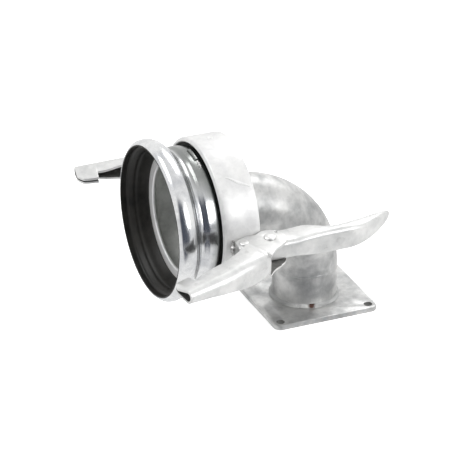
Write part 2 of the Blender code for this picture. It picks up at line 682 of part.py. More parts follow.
def make_handle(parent):
    """Horn-shaped handle: a pressed channel that straddles the lug, swells and runs out to a round tip."""
    height = raised(HANDLE_EYE_H, HANDLE_RISE)
    rows = []
    for a in HANDLE_MARKS:
        h = curve_at(height, a) * MM
        rows.append((a * MM, curve_at(HANDLE_IN, a) * MM, curve_at(HANDLE_OUT, a) * MM, h, h, FOLD_R))
    handle = finish(pressed_skin(rows, 1, 1, 3), "lever_handle", bright_zinc(), parent, smooth=40)
    hollow = [row for row in rows if row[0] < (HANDLE_MARKS[-1] - TIP_SOLID) * MM]
    tool_rows = hollow_stations(hollow, HANDLE_SHEET, rows[0][0], rows[-1][0], FOLD_R, 0)
    cut(handle, cutter(pressed_skin(tool_rows, 1, 1, 2), "lever_handle_hollow_tool", parent))
    cut(handle, round_cutter("lever_handle_pin_tool", PIN_R + GAP, HOLE_REACH, (0, 0, 0), parent))
    place = (RIVET_OUT, RIVET_BACK, 0)
    cut(handle, round_cutter("lever_handle_rivet_tool", RIVET_R + GAP, HOLE_REACH, place, parent))


def make_lever(ring_axis):
    """The lever on the +X side: handle on the lug pin, hook arm on the rivet."""
    make_lug("near_lug", 1, GAP, ring_axis)
    handle_axis = pivot("handle_axis", (PIN_X, PIN_Y, 0), ring_axis)
    make_handle(handle_axis)
    make_rivet("near_lug_pin", PIN_R, HANDLE_EYE_H, PIN_R + HEAD_LIP, HEAD_T, handle_axis)
    arm_axis = pivot("arm_axis", (RIVET_OUT, RIVET_BACK, 0), handle_axis, (0, 0, ARM_SWING))
    height = raised(HOOK_EYE_H, ARM_RISE)
    rows = hook_stations(ARM_IN, ARM_OUT, NOSE_IN, height, EYE_R, EYE_SHIFT, WEB_FROM, LEAN_FROM, ARM_MARKS)
    hook = make_hook("lever_hook", 1, rows, WEB_FROM, NOSE_IN[0][0], RIVET_R, arm_axis)
    hole = (SPARE_HOLE_AT[1], -SPARE_HOLE_AT[0], HOOK_EYE_H)
    cut(hook, round_cutter("spare_hole_tool", SPARE_HOLE_R, HOOK_EYE_H / 2, hole, arm_axis))
    make_rivet("lever_rivet", RIVET_R, HOOK_EYE_H, RIVET_R + RIVET_LIP, RIVET_HEAD_T, arm_axis)


def make_far_hook(ring_axis):
    """The hook on the -X side, hung on its own lug by a loose pin."""
    sag_play = math.tan(math.radians(FAR_SAG)) * LUG_HALF_H + GAP
    make_lug("far_lug", -1, sag_play, ring_axis)
    axis = pivot("far_hook_axis", (-PIN_X, PIN_Y, 0), ring_axis, (FAR_SAG, 0, -FAR_SWING))
    ahead, aside = FAR_OFFSET
    inner = FAR_IN + tuple((a - ahead, b - aside) for a, b in ARM_IN if a > SAME_FROM)
    nose = tuple((a - ahead, b - aside) for a, b in NOSE_IN)
    height = raised(FAR_EYE_H, FAR_RISE)
    lean = LEAN_FROM - ahead
    rows = hook_stations(inner, FAR_OUT, nose, height, FAR_EYE_R, 0, FAR_WEB_FROM, lean, FAR_MARKS)
    make_hook("far_hook", -1, rows, FAR_WEB_FROM, nose[0][0], PIN_R, axis)
    make_rivet("far_lug_pin", PIN_R, FAR_EYE_H, PIN_R + HEAD_LIP, HEAD_T, axis)


def main():
    clear_scene()
    make_flange()
    make_leg()
    make_elbow()
    make_bell()
    make_seal()
    make_stop_tab()
    ring_axis = pivot("ring_axis", (0, 0, AXIS_H), rotation=(0, RING_TURN, 0))
    make_closing_ring(ring_axis)
    make_ring_welds(ring_axis)
    make_lever(ring_axis)
    make_far_hook(ring_axis)


main()
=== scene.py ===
import math

import bmesh
import bpy
from mathutils import Matrix, Vector, noise


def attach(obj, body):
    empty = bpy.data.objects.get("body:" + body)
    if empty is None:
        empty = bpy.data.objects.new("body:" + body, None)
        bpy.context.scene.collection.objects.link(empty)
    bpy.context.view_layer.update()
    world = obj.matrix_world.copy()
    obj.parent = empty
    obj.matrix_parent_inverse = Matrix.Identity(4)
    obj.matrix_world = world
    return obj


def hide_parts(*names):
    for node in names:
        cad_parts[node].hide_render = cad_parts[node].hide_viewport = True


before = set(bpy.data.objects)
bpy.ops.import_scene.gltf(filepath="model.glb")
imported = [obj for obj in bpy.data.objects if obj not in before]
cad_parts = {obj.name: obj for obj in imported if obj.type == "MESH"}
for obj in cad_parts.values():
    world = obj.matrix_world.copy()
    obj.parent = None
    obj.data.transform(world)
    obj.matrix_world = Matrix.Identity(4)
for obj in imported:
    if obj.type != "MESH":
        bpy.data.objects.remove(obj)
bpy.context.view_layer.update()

MM = 0.001
GAP = 0.0003              # clearance between pieces that lie on each other
SHARP = 0.0003            # fold radius where the sheet isn't folded
ROUND = 192               # facets of the large turned pieces

# Pipework, in metres
AXIS_H = 0.1827           # the coupling's axis above the foot
BEND_R = 0.1246
TUBE_R = 0.0508
TUBE_WALL = 0.004
TUBE_FACETS = 128
BEND_STEPS = 48
FLANGE_SIDE = 0.175
FLANGE_T = 0.008
FLANGE_CORNER = 0.011
FLANGE_EDGE = 0.0009      # softened edge
BOLT_SPACING = 0.150
BOLT_HOLE = 0.013
LEG_FOOT = 0.0015         # the leg's lower end above the flange's underside
FOOT_BEAD = 0.00504       # leg length of the weld on the flange
BEAD_W = 0.0034           # half width of the beads round the tube
BEAD_H = 0.0012           # height of the bead at the bell; the leg's is half as high

# Bell, as y along the mouth's axis and r from it
BELL_WALL = 0.003
RIM_Y = -0.2631
RIM_R = 0.119
RIM_T = 0.0016
CROWN_Y = -0.250
CROWN_R = 0.125
WAIST_Y = -0.2185
WAIST_R = 0.104
BOWL_Y = -0.208
BOWL_R = 0.107
BOWL_REACH = 0.0938       # from the bowl's widest place to where it would close
BOWL_END = 0.0062         # from the bend's end to the bowl

# Rubber ring and its seat
SEAL_LIP_R = 0.1160
SEAL_GROOVE_R = 0.1148
SEAL_BEAD_R = 0.108
SEAL_DEEP_R = 0.1009
SEAL_DEEP_Y = -0.2230
SEAT_T = 0.0054
SEAT_R = 0.0846
SEAT_ROLL = 0.0024        # radius of the seat's rolled edge

# Closing ring
RING_TURN = 2.0           # degrees
RING_FRONT = -0.1866
RING_BACK = -0.1315
RING_R = 0.1175
RING_WALL = 0.005
RING_LIP_R = 0.1102
RING_LIP_OUT = 0.0037
RING_BACK_ROUND = 0.0018
BEARING_Y = -0.160
BEARING_T = 0.006
BEARING_PLAY = 0.0006
SEAM_DEG = (53.0, 43.0)   # the seam bead's front and back end, round the ring
SEAM_HALF_W = 0.0032
SEAM_SHAPE = ((-1, -0.3), (-0.8, 0.4), (-0.4, 0.85), (0, 1), (0.4, 0.85), (0.8, 0.4), (1, -0.3))
SEAM_STEPS = 60
PLUG_DEG = 97.0
PLUG_R = 0.0056
PLUG_SHAPE = ((1.05, -0.0004), (0.98, 0.0006), (0.82, 0.0012), (0.6, 0.0011), (0.3, 0.0007), (0.08, 0.0006))

# Stop tab on the bowl
TAB_DEG = (76.0, 92.0)
TAB_Y = -0.198
TAB_W = 0.0050
TAB_T = 0.0026
TAB_BEAD_DEG = 9.0        # how far its bead runs round the bowl
TAB_BEAD_HALF_W = 0.0030
TAB_BEAD_H = 0.0024
TAB_BEAD_SHAPE = ((-1, 0), (-0.8, 0.5), (-0.4, 0.88), (0, 1), (0.4, 0.88), (0.8, 0.5), (1, 0))
TAB_BEAD_STEPS = 24

# Lugs, pins and rivet, in the ring's frame
PIN_X = 0.136
PIN_Y = -0.166
PIN_R = 0.005
HEAD_R = 0.009
HEAD_T = 0.003
LUG_HALF_H = 0.012
LUG_HALF_W = 0.010
LUG_BEAD = 0.0058
LUG_BEAD_STEPS = 28
RIVET_X = 0.1395
RIVET_Y = -0.127
RIVET_R = 0.006
RIVET_HEAD_R = 0.0095
RIVET_HEAD_T = 0.0035

# Pressed channels. The tables are in millimetres: place along the channel, then place across it or half
# height; IN is the open side and OUT the folded one.
HANDLE_SHEET = 0.003
HOOK_SHEET = 0.0035
CHANNEL_EDGE = 0.0005     # softened edge
FOLD_R = 0.008
HOOK_FOLD_R = 0.014
EYE_R = 0.024
EYE_SHIFT = 0.002
FAR_EYE_R = 0.013
ARM_SWING = 18.1          # degrees
FAR_SWING = 12.0
FAR_SAG = 3.4
SPARE_HOLE_R = 0.0024
SPARE_HOLE_AT = (-0.0185, -0.007)
ARM_IN = ((0, -22), (8, -20), (20, -17), (39, -6.5), (61, 4), (86, 10.5), (106, 12.5), (119, 10.5),
          (143, 8.3), (155.3, 9.9))
ARM_OUT = ((0, 28), (12, 30), (23, 34.5), (33, 40), (50, 44), (77, 47), (113, 47), (150, 43.5), (187.8, 39.5))
NOSE_IN = ((155.8, -6), (164, -6.2), (172, -5.8), (178.9, -4.5), (182, -1.5), (185.4, 3), (187.8, 8.5))
ARM_H = ((0, 19.2), (36, 19.2), (47, 22.5), (60, 22.5), (119, 17.5), (187.8, 10.2))
WEB_FROM = 33.0           # the folded web starts here
NOSE_HALF_H = 5.0         # half height at the nose's point
LEAN_FROM = 112.0         # the cheeks start to lean in here
STATION_PITCH = 4
FAR_OFFSET = (38, -7.9)   # the far hook's pin, in the tables of the hook above
FAR_IN = ((0, -13), (9, -10.5), (20, -2), (34, 9), (50, 15.5), (66, 19.2))
FAR_NOSE_FROM = 106       # from here the far hook has the other hook's open side
FAR_OUT = ((0, 13), (7, 17), (15, 27), (24, 39), (33, 46.5), (45, 49.5), (75, 49.5), (112, 48), (149.8, 45.4))
FAR_H = ((0, 16.4), (40, 13.9), (60, 14.6), (81, 12.8), (149.8, 7.8))
FAR_WEB_FROM = 17.0
HANDLE_OUT = ((-13, 13), (-10, 15.5), (0, 17.5), (20, 18.6), (55, 19), (166, 19), (180, 17.5), (193, 14),
              (223, -2), (240, -15.5), (254, -28))
HANDLE_IN = ((-13, -2), (-11.5, -6), (-8, -10.2), (0, -14.2), (9, -17.7), (41, -17.7), (76, -17), (98, -15.8),
             (118, -6), (135, 2.6), (149, 4), (163, 2.6), (192, -5), (236, -21), (254, -30.5))
HANDLE_H = ((-13, 15.3), (75, 15.3), (96, 17.5), (116, 19), (146, 19.5), (166, 19.5), (193, 17.3),
            (221, 14.5), (241, 10.7), (250, 7.5), (254, 3))
HANDLE_ROOT = (-13, -12, -11, -9.5, -8, -6, -3, 0, 3, 6, 9)   # closely spaced stations round the eye
HANDLE_PITCH = 4.5
HANDLE_TIP = 254
HANDLE_SOLID = 236        # the channel closes into a flat tip here

# Frames of the bell, the ring, the lever and the hooks
MOUTH = Matrix.Translation((0, 0, AXIS_H))
RING = MOUTH @ Matrix.Rotation(math.radians(RING_TURN), 4, "Y")
HANDLE = RING @ Matrix.Translation((PIN_X, PIN_Y, 0))
ARM = RING @ Matrix.Translation((RIVET_X, RIVET_Y, 0)) @ Matrix.Rotation(math.radians(ARM_SWING), 4, "Z")
FAR = (RING @ Matrix.Translation((-PIN_X, PIN_Y, 0)) @ Matrix.Rotation(math.radians(-FAR_SWING), 4, "Z")
       @ Matrix.Rotation(math.radians(FAR_SAG), 4, "X"))

# Marks on the metal, painted shade on the bell and a painted highlight on the foot weld, by place in metres;
# each stop is a place and the mark's strength
RUST_AT = (0.0525, -0.0120, 0.0128)
RUST_COLOR = (0.075, 0.026, 0.014)
RAGGED = 0.008            # how far the rust's edge wanders
# painted highlight on the foot weld's front run, on the side towards the camera
PAINTED_WELD_HIGHLIGHT_DIR = (15.2, -7.9, 0.0)       # direction of the foot weld's bright run
DULL_WELD = (0.40, 0.405, 0.40)
# painted shade on the bell's bowl next to the ring, and on the top of the bowl behind the waist
PAINTED_RING_SHADE = (0.17, 0.18, 0.17)
PAINTED_RING_SHADE_ALONG = ((-0.2070, 0.0), (-0.1930, 0.90))
PAINTED_TOP_SHADE = (0.20, 0.21, 0.20)
PAINTED_TOP_SHADE_ALONG = ((-0.2230, 0.0), (-0.2150, 1.0))
PAINTED_TOP_SHADE_UP = ((0.245, 0.0), (0.272, 0.85))
STAIN = (0.20, 0.19, 0.175)
RAMP_SHIFT = 0.5          # brings places in metres into a ramp's 0 to 1

# Camera, floor and light
LENS_MM = 221.96
SENSOR_MM = 36.0
CAMERA_AT = (3.4997, -1.7058, 2.1455)
CAMERA_AXES = ((0.4039, 0.9147, 0.0136), (-0.4279, 0.1757, 0.8866), (0.8086, -0.3639, 0.4624))
FLOOR_Z = -0.0004
FLOOR_HALF = 9.0
FLOOR_GLOW = 0.74         # what camera rays see on top of the lit floor
SOFT_LIGHT = 0.55
DARK_SIDE = (0.970, -0.190, 0.152)    # the unlit side of the room, seen only in the metal
ROOM = ((0.65, (1, 1, 1)), (0.82, (0.09, 0.10, 0.13)))
LAMPS = (("key", (-0.6, -1.6, 2.6), (0, -0.1, 0.15), (1.8, 1.4), 28),
         ("back", (-1.4, 1.6, 2.2), (0, -0.05, 0.15), (1.6, 1.2), 22),
         ("side", (2.1, 1.0, 1.2), (0, -0.05, 0.15), (1.2, 1.2), 22))


# Node materials

def node(tree, kind, at=(0, 0), **values):
    """Add a node. Each value is a setting of the node or the default of one of its inputs."""
    item = tree.nodes.new(kind)
    item.location = at
    for key, value in values.items():
        if hasattr(item, key) and key not in item.inputs:
            setattr(item, key, value)
        else:
            item.inputs[key].default_value = value
    return item


def ramp(tree, source, stops, at=(0, 0)):
    """Turn a number into a colour; each stop is a place and a grey or a colour."""
    item = node(tree, "ShaderNodeValToRGB", at)
    band = item.color_ramp
    while len(band.elements) < len(stops):
        band.elements.new(0.5)
    for element, (place, value) in zip(band.elements, stops):
        element.position = place
        color = value if isinstance(value, tuple) else (value, value, value)
        element.color = (*color, 1)
    tree.links.new(source, item.inputs["Fac"])
    return item.outputs["Color"]


def ramp_along(tree, coordinate, stops, at):
    """Ramp along one coordinate, whose stops are in metres and may be negative."""
    item = node(tree, "ShaderNodeMath", (at[0] - 150, at[1]), operation="ADD")
    tree.links.new(coordinate, item.inputs[0])
    item.inputs[1].default_value = RAMP_SHIFT
    return ramp(tree, item.outputs[0], [(RAMP_SHIFT + place, value) for place, value in stops], at)


def shader_of(name, metallic):
    """Start a material: the material, its tree, its shader and the object's coordinates."""
    mat = bpy.data.materials.new(name)
    mat.use_nodes = True
    tree = mat.node_tree
    shader = tree.nodes["Principled BSDF"]
    shader.inputs["Metallic"].default_value = metallic
    coords = node(tree, "ShaderNodeTexCoord", (-1400, 0))
    return mat, tree, shader, coords.outputs["Object"]


def noise_node(tree, place, scale, detail, rough, at):
    """Noise of scale ripples to the metre."""
    item = node(tree, "ShaderNodeTexNoise", at, Scale=scale, Detail=detail, Roughness=rough)
    tree.links.new(place, item.inputs["Vector"])
    return item.outputs["Fac"]


def mix(tree, kind, a, b, share, at):
    """Blend two colours; each of a, b and share is a socket or a value."""
    item = node(tree, "ShaderNodeMix", at, data_type="RGBA", blend_type=kind)
    for socket, value in ((item.inputs[0], share), (item.inputs[6], a), (item.inputs[7], b)):
        if isinstance(value, bpy.types.NodeSocket):
            tree.links.new(value, socket)
        else:
            socket.default_value = value if socket.type == "VALUE" else (*value, 1)
    return item.outputs[2]


def bump(tree, height, strength, distance, at, normal=None):
    item = node(tree, "ShaderNodeBump", at, Strength=strength, Distance=distance)
    tree.links.new(height, item.inputs["Height"])
    if normal:
        tree.links.new(normal, item.inputs["Normal"])
    return item.outputs["Normal"]


def vector_value(tree, place, operation, other, at):
    """Distance or dot product of the place and a fixed vector."""
    item = node(tree, "ShaderNodeVectorMath", at, operation=operation)
    tree.links.new(place, item.inputs[0])
    item.inputs[1].default_value = other
    return item.outputs["Value"]


def paint_bell_shade(tree, place, color):
    """Painted shade on the bell: darker between waist and ring, and darker on the top of its bowl."""
    apart = node(tree, "ShaderNodeSeparateXYZ", (-1100, -1200))
    tree.links.new(place, apart.inputs[0])
    # painted shade: the bowl darkens towards the ring's front edge
    edge = ramp_along(tree, apart.outputs["Y"], PAINTED_RING_SHADE_ALONG, (-800, -1200))
    color = mix(tree, "MIX", color, PAINTED_RING_SHADE, edge, (0, 200))
    # painted shade: the top of the bowl behind the waist is darker
    behind = ramp_along(tree, apart.outputs["Y"], PAINTED_TOP_SHADE_ALONG, (-800, -1400))
    upper = ramp_along(tree, apart.outputs["Z"], PAINTED_TOP_SHADE_UP, (-800, -1600))
    share = mix(tree, "MULTIPLY", behind, upper, 1.0, (-500, -1500))
    return mix(tree, "MIX", color, PAINTED_TOP_SHADE, share, (200, 200))


def zinc(name, light, dark, rough, metallic, spangle, grain, dirt=0.0, band=False):
    """Hot-dip zinc: drifting clouds, faint crystal patches, a fine grain, where wanted, stains, and with band
    the bell's painted shade.
    """
    mat, tree, shader, place = shader_of(name, metallic)
    clouds = noise_node(tree, place, 26, 5, 0.6, (-1100, 300))
    tint = ramp(tree, clouds, ((0.34, dark), (0.62, light)), (-800, 300))
    cells = node(tree, "ShaderNodeTexVoronoi", (-1100, 0), Scale=150.0)
    tree.links.new(place, cells.inputs["Vector"])
    patch = ramp(tree, cells.outputs["Color"], ((0.1, 0.80), (0.9, 1.0)), (-800, 0))
    color = mix(tree, "MULTIPLY", tint, patch, spangle, (-500, 200))
    if dirt:
        spots = noise_node(tree, place, 60, 6, 0.65, (-1100, -300))
        mask = ramp(tree, spots, ((0.60, 0.0), (0.70, dirt)), (-800, -300))
        color = mix(tree, "MIX", color, STAIN, mask, (-250, 200))
    # band paints shade on the bell near the ring and on the top of its bowl
    if band:
        color = paint_bell_shade(tree, place, color)
    tree.links.new(color, shader.inputs["Base Color"])
    fine = noise_node(tree, place, 420, 3, 0.6, (-1100, -600))
    gloss = mix(tree, "MIX", clouds, fine, 0.35, (-500, -400))
    tree.links.new(ramp(tree, gloss, ((0.3, rough * 1.28), (0.7, rough * 0.78)), (-250, -400)),
                   shader.inputs["Roughness"])
    coarse = noise_node(tree, place, 85, 3, 0.5, (-1100, -900))
    first = bump(tree, coarse, 0.35 * grain, 0.0012, (-500, -800))
    tree.links.new(bump(tree, fine, 0.22 * grain, 0.0004, (-250, -800), first), shader.inputs["Normal"])
    return mat


def rubber():
    """Black rubber with a little dust."""
    mat, tree, shader, place = shader_of("scene_black_rubber", 0.0)
    dust = noise_node(tree, place, 38, 5, 0.65, (-900, 200))
    tint = ramp(tree, dust, ((0.35, (0.007, 0.007, 0.006)), (0.75, (0.026, 0.024, 0.021))), (-500, 200))
    tree.links.new(tint, shader.inputs["Base Color"])
    tree.links.new(ramp(tree, dust, ((0.3, 0.40), (0.7, 0.56)), (-500, 0)), shader.inputs["Roughness"])
    shader.inputs["Specular IOR Level"].default_value = 0.3
    fine = noise_node(tree, place, 600, 3, 0.6, (-900, -200))
    tree.links.new(bump(tree, fine, 0.12, 0.0003, (-400, -300)), shader.inputs["Normal"])
    return mat


def weld_metal(name, scale, stops, foot=False):
    """Galvanised weld, darker in the low parts of its ripples: painted shade in their hollows. The foot's has
    a painted highlight only in front, on the side towards the camera, with a rust spot.
    """
    mat, tree, shader, place = shader_of(name, 0.85)
    lumps = noise_node(tree, place, scale, 5, 0.6, (-1100, 300))
    # the ramp darkens the low parts of the lumps, which the bump below makes hollows: painted shade in the
    # hollows between ripples
    color = ramp(tree, lumps, stops, (-800, 300))
    if foot:
        apart = vector_value(tree, place, "DISTANCE", RUST_AT, (-1100, 0))
        ragged = node(tree, "ShaderNodeMath", (-950, 0), operation="MULTIPLY_ADD")
        tree.links.new(lumps, ragged.inputs[0])
        ragged.inputs[1].default_value = RAGGED
        tree.links.new(apart, ragged.inputs[2])
        spot = ramp(tree, ragged.outputs[0], ((0.0078, 1.0), (0.0100, 0.0)), (-800, 0))
        # painted highlight: the foot weld is light only on its side towards the camera, elsewhere DULL_WELD
        # grey
        toward = vector_value(tree, place, "DOT_PRODUCT", PAINTED_WELD_HIGHLIGHT_DIR, (-1100, -200))
        painted_highlight = ramp(tree, toward, ((0.78, 0.0), (0.92, 1.0)), (-800, -350))
        color = mix(tree, "MIX", DULL_WELD, color, painted_highlight, (-600, 300))
        color = mix(tree, "MIX", color, RUST_COLOR, spot, (-450, 200))
        metal = ramp(tree, apart, ((0.0045, 0.0), (0.0090, 0.4)), (-800, -150))
        tree.links.new(metal, shader.inputs["Metallic"])
    tree.links.new(color, shader.inputs["Base Color"])
    tree.links.new(ramp(tree, lumps, ((0.3, 0.62), (0.7, 0.36)), (-500, -200)), shader.inputs["Roughness"])
    tree.links.new(bump(tree, lumps, 0.5, 0.0008, (-400, -500)), shader.inputs["Normal"])
    return mat


BODY_ZINC = zinc("scene_dull_zinc", (0.68, 0.68, 0.67), (0.38, 0.385, 0.385), rough=0.44, metallic=0.72,
                 spangle=0.35, grain=0.6, dirt=0.2)
# the shell's band is painted shade
SHELL_ZINC = zinc("scene_shell_zinc", (0.82, 0.825, 0.825), (0.57, 0.58, 0.60), rough=0.20, metallic=1.0,
                  spangle=0.35, grain=0.3, band=True)
BOWL_INSIDE = zinc("scene_bowl_inside", (0.66, 0.67, 0.65), (0.46, 0.47, 0.455), rough=0.46, metallic=0.6,
                   spangle=0.3, grain=0.5)
SEAT_ZINC = zinc("scene_seat_zinc", (0.90, 0.90, 0.90), (0.72, 0.72, 0.72), rough=0.38, metallic=0.35,
                 spangle=0.2, grain=0.3)
# rough zinc for the faces inside the channels and the bolt holes; its dark colour is painted shade in these
# hollows
PAINTED_HOLLOW_SHADE = zinc("scene_painted_hollow_shade", (0.30, 0.30, 0.29), (0.16, 0.16, 0.155), rough=0.6,
                      metallic=0.7, spangle=0.3, grain=0.6)
RING_ZINC = zinc("scene_ring_zinc", (0.90, 0.90, 0.89), (0.76, 0.76, 0.76), rough=0.42, metallic=0.3,
                 spangle=0.3, grain=0.5)
LEVER_ZINC = zinc("scene_lever_zinc", (0.82, 0.82, 0.81), (0.63, 0.635, 0.63), rough=0.36, metallic=0.5,
                  spangle=0.3, grain=0.5, dirt=0.25)
LUG_ZINC = zinc("scene_lug_zinc", (0.66, 0.66, 0.65), (0.42, 0.42, 0.41), rough=0.5, metallic=0.8,
                spangle=0.3, grain=0.8, dirt=0.4)
RIVET_ZINC = zinc("scene_rivet_zinc", (0.80, 0.80, 0.79), (0.62, 0.62, 0.61), rough=0.34, metallic=0.9,
                  spangle=0.1, grain=0.5)
# weld: darker where its ripples are low, a painted shade in their hollows
WELD = weld_metal("scene_weld", 210, ((0.32, (0.22, 0.21, 0.20)), (0.44, (0.55, 0.55, 0.54)),
                                      (0.66, (0.78, 0.78, 0.77))))
# foot weld: its lumpy light colours show only in the painted highlight on the front
FOOT_WELD = weld_metal("scene_foot_weld", 75, ((0.34, (0.45, 0.45, 0.44)), (0.42, (0.74, 0.74, 0.73)),
                                               (0.56, (0.90, 0.90, 0.88))), foot=True)
RUBBER = rubber()


# Mesh tools

def finish_mesh(bm, name, mat, body, nodes, frame_at=Matrix.Identity(4), smooth=35, edge=0.0,
                tools=(), inside=None):
    """Make the piece in its own frame, cut it, soften its edges, and let it ride in place of its nodes."""
    bmesh.ops.remove_doubles(bm, verts=bm.verts, dist=1e-6)
    bmesh.ops.recalc_face_normals(bm, faces=bm.faces)
    mesh = bpy.data.meshes.new(name)
    bm.to_mesh(mesh)
    bm.free()
    piece = bpy.data.objects.new(name, mesh)
    bpy.context.collection.objects.link(piece)
    mesh.materials.append(mat)
    if inside:
        mesh.materials.append(inside)
    for k, tool in enumerate(tools):
        mod = piece.modifiers.new("cut_%d" % k, "BOOLEAN")
        mod.operation = "DIFFERENCE"
        mod.solver = "EXACT"
        mod.object = tool
    if edge:
        mod = piece.modifiers.new("soft_edges", "BEVEL")
        mod.width = edge
        mod.segments = 2
        mod.limit_method = "ANGLE"
        mod.angle_limit = math.radians(38)
    if tools or edge:
        settle(piece)
    for tool in tools:
        bpy.data.objects.remove(tool, do_unlink=True)
    piece.data.transform(frame_at)
    piece.data.shade_smooth()
    piece.data.set_sharp_from_angle(angle=math.radians(smooth))
    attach(piece, body)
    if nodes:
        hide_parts(*nodes)
    return piece


def settle(piece):
    """Turn the modifiers' result into the piece's own mesh."""
    bpy.context.view_layer.update()
    graph = bpy.context.evaluated_depsgraph_get()
    mesh = bpy.data.meshes.new_from_object(piece.evaluated_get(graph))
    piece.modifiers.clear()
    old = piece.data
    piece.data = mesh
    mesh.name = piece.name
    bpy.data.meshes.remove(old)


def tool_of(bm, name, mats=()):
    """Make a cutting tool; the faces that it cuts take the last of its materials."""
    bmesh.ops.recalc_face_normals(bm, faces=bm.faces)
    mesh = bpy.data.meshes.new(name)
    for mat in mats:
        mesh.materials.append(mat)
    for face in bm.faces:
        face.material_index = max(len(mats) - 1, 0)
    bm.to_mesh(mesh)
    bm.free()
    tool = bpy.data.objects.new(name, mesh)
    bpy.context.collection.objects.link(tool)
    tool.hide_render = True
    return tool


def skin(bm, sections, loop=False):
    """Join closed sections into a skin, with both ends closed or the last section joined to the first."""
    rows = [[bm.verts.new(point) for point in section] for section in sections]
    count = len(rows[0])
    pairs = list(zip(rows, rows[1:]))
    if loop:
        pairs.append((rows[-1], rows[0]))
    for low, high in pairs:
        for i in range(count):
            j = (i + 1) % count
            bm.faces.new((low[i], low[j], high[j], high[i]))
    if not loop:
        bm.faces.new(rows[0])
        bm.faces.new(tuple(reversed(rows[-1])))


def circle(radius, facets, phase=0.0):
    step = 2 * math.pi / facets
    turns = [step * (i + phase) for i in range(facets)]
    return [(radius * math.cos(t), radius * math.sin(t)) for t in turns]


def round_tool(name, radius, half, at, facets=48, mats=()):
    bm = bmesh.new()
    x0, y0, z0 = at
    ring = circle(radius, facets, 0.37)
    skin(bm, [[(x0 + x, y0 + y, z0 + z) for x, y in ring] for z in (-half, half)])
    return tool_of(bm, name, mats)


def curve_at(points, x):
    """Smooth curve through (x, y) points: cubic pieces whose slopes never overshoot."""
    xs = [p[0] for p in points]
    ys = [p[1] for p in points]
    if x <= xs[0]:
        return ys[0]
    if x >= xs[-1]:
        return ys[-1]
    rise = [(ys[i + 1] - ys[i]) / (xs[i + 1] - xs[i]) for i in range(len(xs) - 1)]
    slope = [rise[0]] + [0.0] * (len(xs) - 2) + [rise[-1]]
    for i in range(1, len(xs) - 1):
        if rise[i - 1] * rise[i] > 0:
            slope[i] = 2 * rise[i - 1] * rise[i] / (rise[i - 1] + rise[i])
    i = max(k for k in range(len(xs) - 1) if xs[k] <= x)
    width = xs[i + 1] - xs[i]
    t = (x - xs[i]) / width
    return (ys[i] * (1 + 2 * t) * (1 - t) ** 2 + slope[i] * width * t * (1 - t) ** 2
            + ys[i + 1] * t * t * (3 - 2 * t) + slope[i + 1] * width * t * t * (t - 1))


def rounded(points, parts=4, closed=False):
    """Pass a smooth line through points, with parts steps between each two."""
    count = len(points)
    line = []
    last = count if closed else count - 1
    for i in range(last):
        p = [Vector(points[(i + k) % count] if closed else points[min(max(i + k, 0), count - 1)])
             for k in (-1, 0, 1, 2)]
        for step in range(parts):
            t = step / parts
            line.append(0.5 * (2 * p[1] + (p[2] - p[0]) * t + (2 * p[0] - 5 * p[1] + 4 * p[2] - p[3]) * t * t
                               + (3 * p[1] - p[0] - 3 * p[2] + p[3]) * t ** 3))
    if not closed:
        line.append(Vector(points[-1]))
    return [(p.x, p.y) for p in line]


def shifted(line, distance):
    """Move a line sideways by distance."""
    moved = []
    for i, (y, r) in enumerate(line):
        y0, r0 = line[max(i - 1, 0)]
        y1, r1 = line[min(i + 1, len(line) - 1)]
        side = Vector((r1 - r0, y0 - y1)).normalized()
        moved.append((y + side.x * distance, r + side.y * distance))
    return moved


def lathe(profile, facets, wobble=0.0, span=None):
    """Turn a closed (y, r) outline about the mouth's axis; wobble makes the skin slightly uneven."""
    bm = bmesh.new()
    if span:
        turns = [math.radians(span[0] + (span[1] - span[0]) * i / facets) for i in range(facets + 1)]
    else:
        turns = [2 * math.pi * i / facets for i in range(facets)]
    sections = []
    for t in turns:
        section = []
        for y, r in profile:
            spot = Vector((r * math.cos(t), y, r * math.sin(t)))
            lift = wobble * noise.noise(spot * 28.0) if wobble else 0
            section.append(spot + Vector((math.cos(t), 0, math.sin(t))) * lift)
        sections.append(section)
    skin(bm, sections, loop=not span)
    return bm


def upright(profile, facets, lumps=0.0, seed=0.0):
    """Turn a closed (r, z) outline about the leg's axis; lumps makes it uneven, as a weld is."""
    bm = bmesh.new()
    sections = []
    for x, y in circle(1, facets):
        section = []
        for k, (r, z) in enumerate(profile):
            lift = lumps * noise.noise(Vector((x * 4.1, y * 4.1, seed + k * 0.15))) if lumps else 0
            section.append((x * (r + lift), y * (r + lift), z + lift * 0.5))
        sections.append(section)
    skin(bm, sections, loop=True)
    return bm


def bowl_radius(y):
    """Outer radius of the bowl at y."""
    return BOWL_R * math.sqrt(1 - ((y - BOWL_Y) / BOWL_REACH) ** 2)


# Fixed pieces

